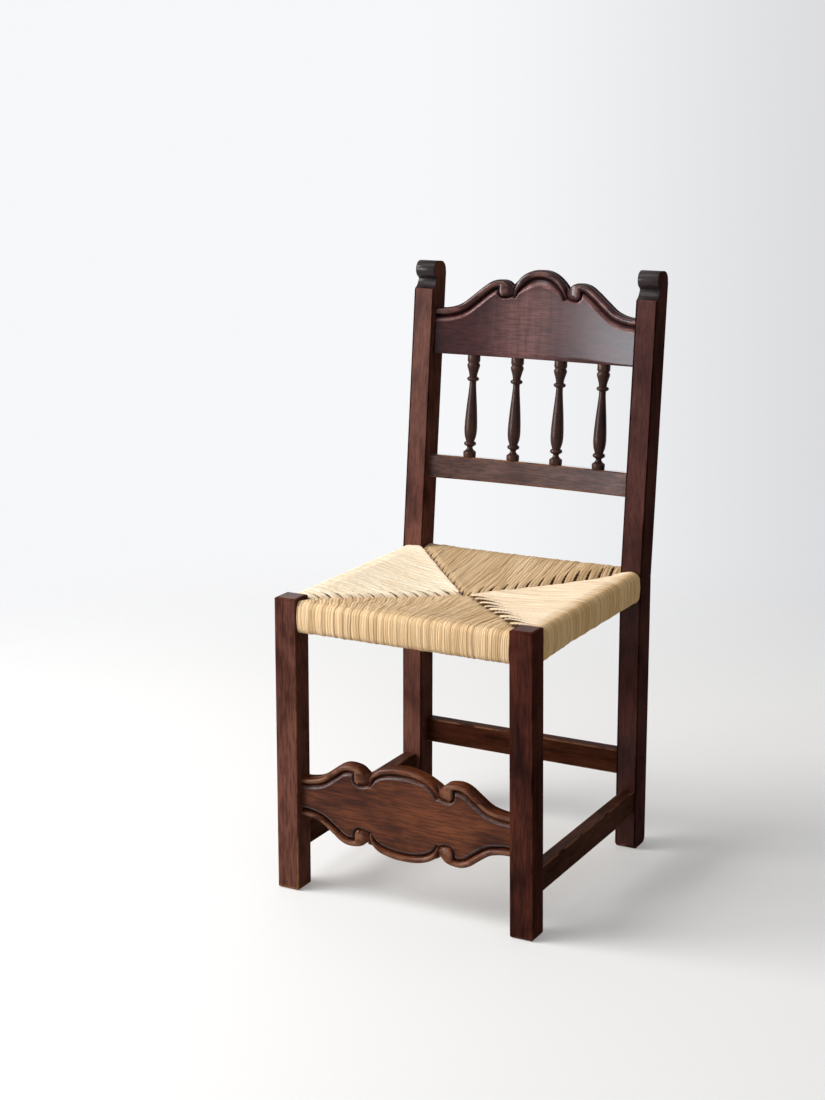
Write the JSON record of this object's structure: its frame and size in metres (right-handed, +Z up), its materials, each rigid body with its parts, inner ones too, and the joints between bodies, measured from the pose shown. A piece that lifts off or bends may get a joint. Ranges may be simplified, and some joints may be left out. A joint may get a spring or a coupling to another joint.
{
  "type": "rush seat chair",
  "caption": "Dining side chair with a woven rush seat, square legs, raked posts with rolled tops, carved crest rail, turned spindles and carved front stretcher.",
  "frame": {"origin": "on the floor, under the middle of the chair's overall width and depth", "axes": "+Z up; -Y is the front of the chair; +X is to the right as seen from the front"},
  "size_m": [0.4244, 0.4762, 0.9048],
  "materials": {
    "wood": "dark walnut-coloured stain under a satin varnish, worn lighter along the arrises",
    "carved_wood": "dark walnut-coloured stain under a satin varnish, with dark hollows and lighter worn crests",
    "rush": "matt straw-coloured twisted rush",
    "packing": "matt loose rush"
  },
  "bodies": {
    "root": {"front_leg_left": "wood", "front_leg_right": "wood", "rear_post_left": "wood", "rear_post_right": "wood", "lower_back_rail": "wood", "spindle_1": "wood", "spindle_2": "wood", "spindle_3": "wood", "spindle_4": "wood", "side_stretcher_left": "wood", "side_stretcher_right": "wood", "rear_stretcher": "wood", "seat_rail_front": "wood", "seat_rail_rear": "wood", "seat_rail_left": "wood", "seat_rail_right": "wood", "crest_rail": "carved_wood", "front_stretcher": "carved_wood", "rush_front": "rush", "rush_rear": "rush", "rush_left": "rush", "rush_right": "rush", "packing_front": "packing", "packing_rear": "packing", "packing_left": "packing", "packing_right": "packing"}
  },
  "joints": []
}
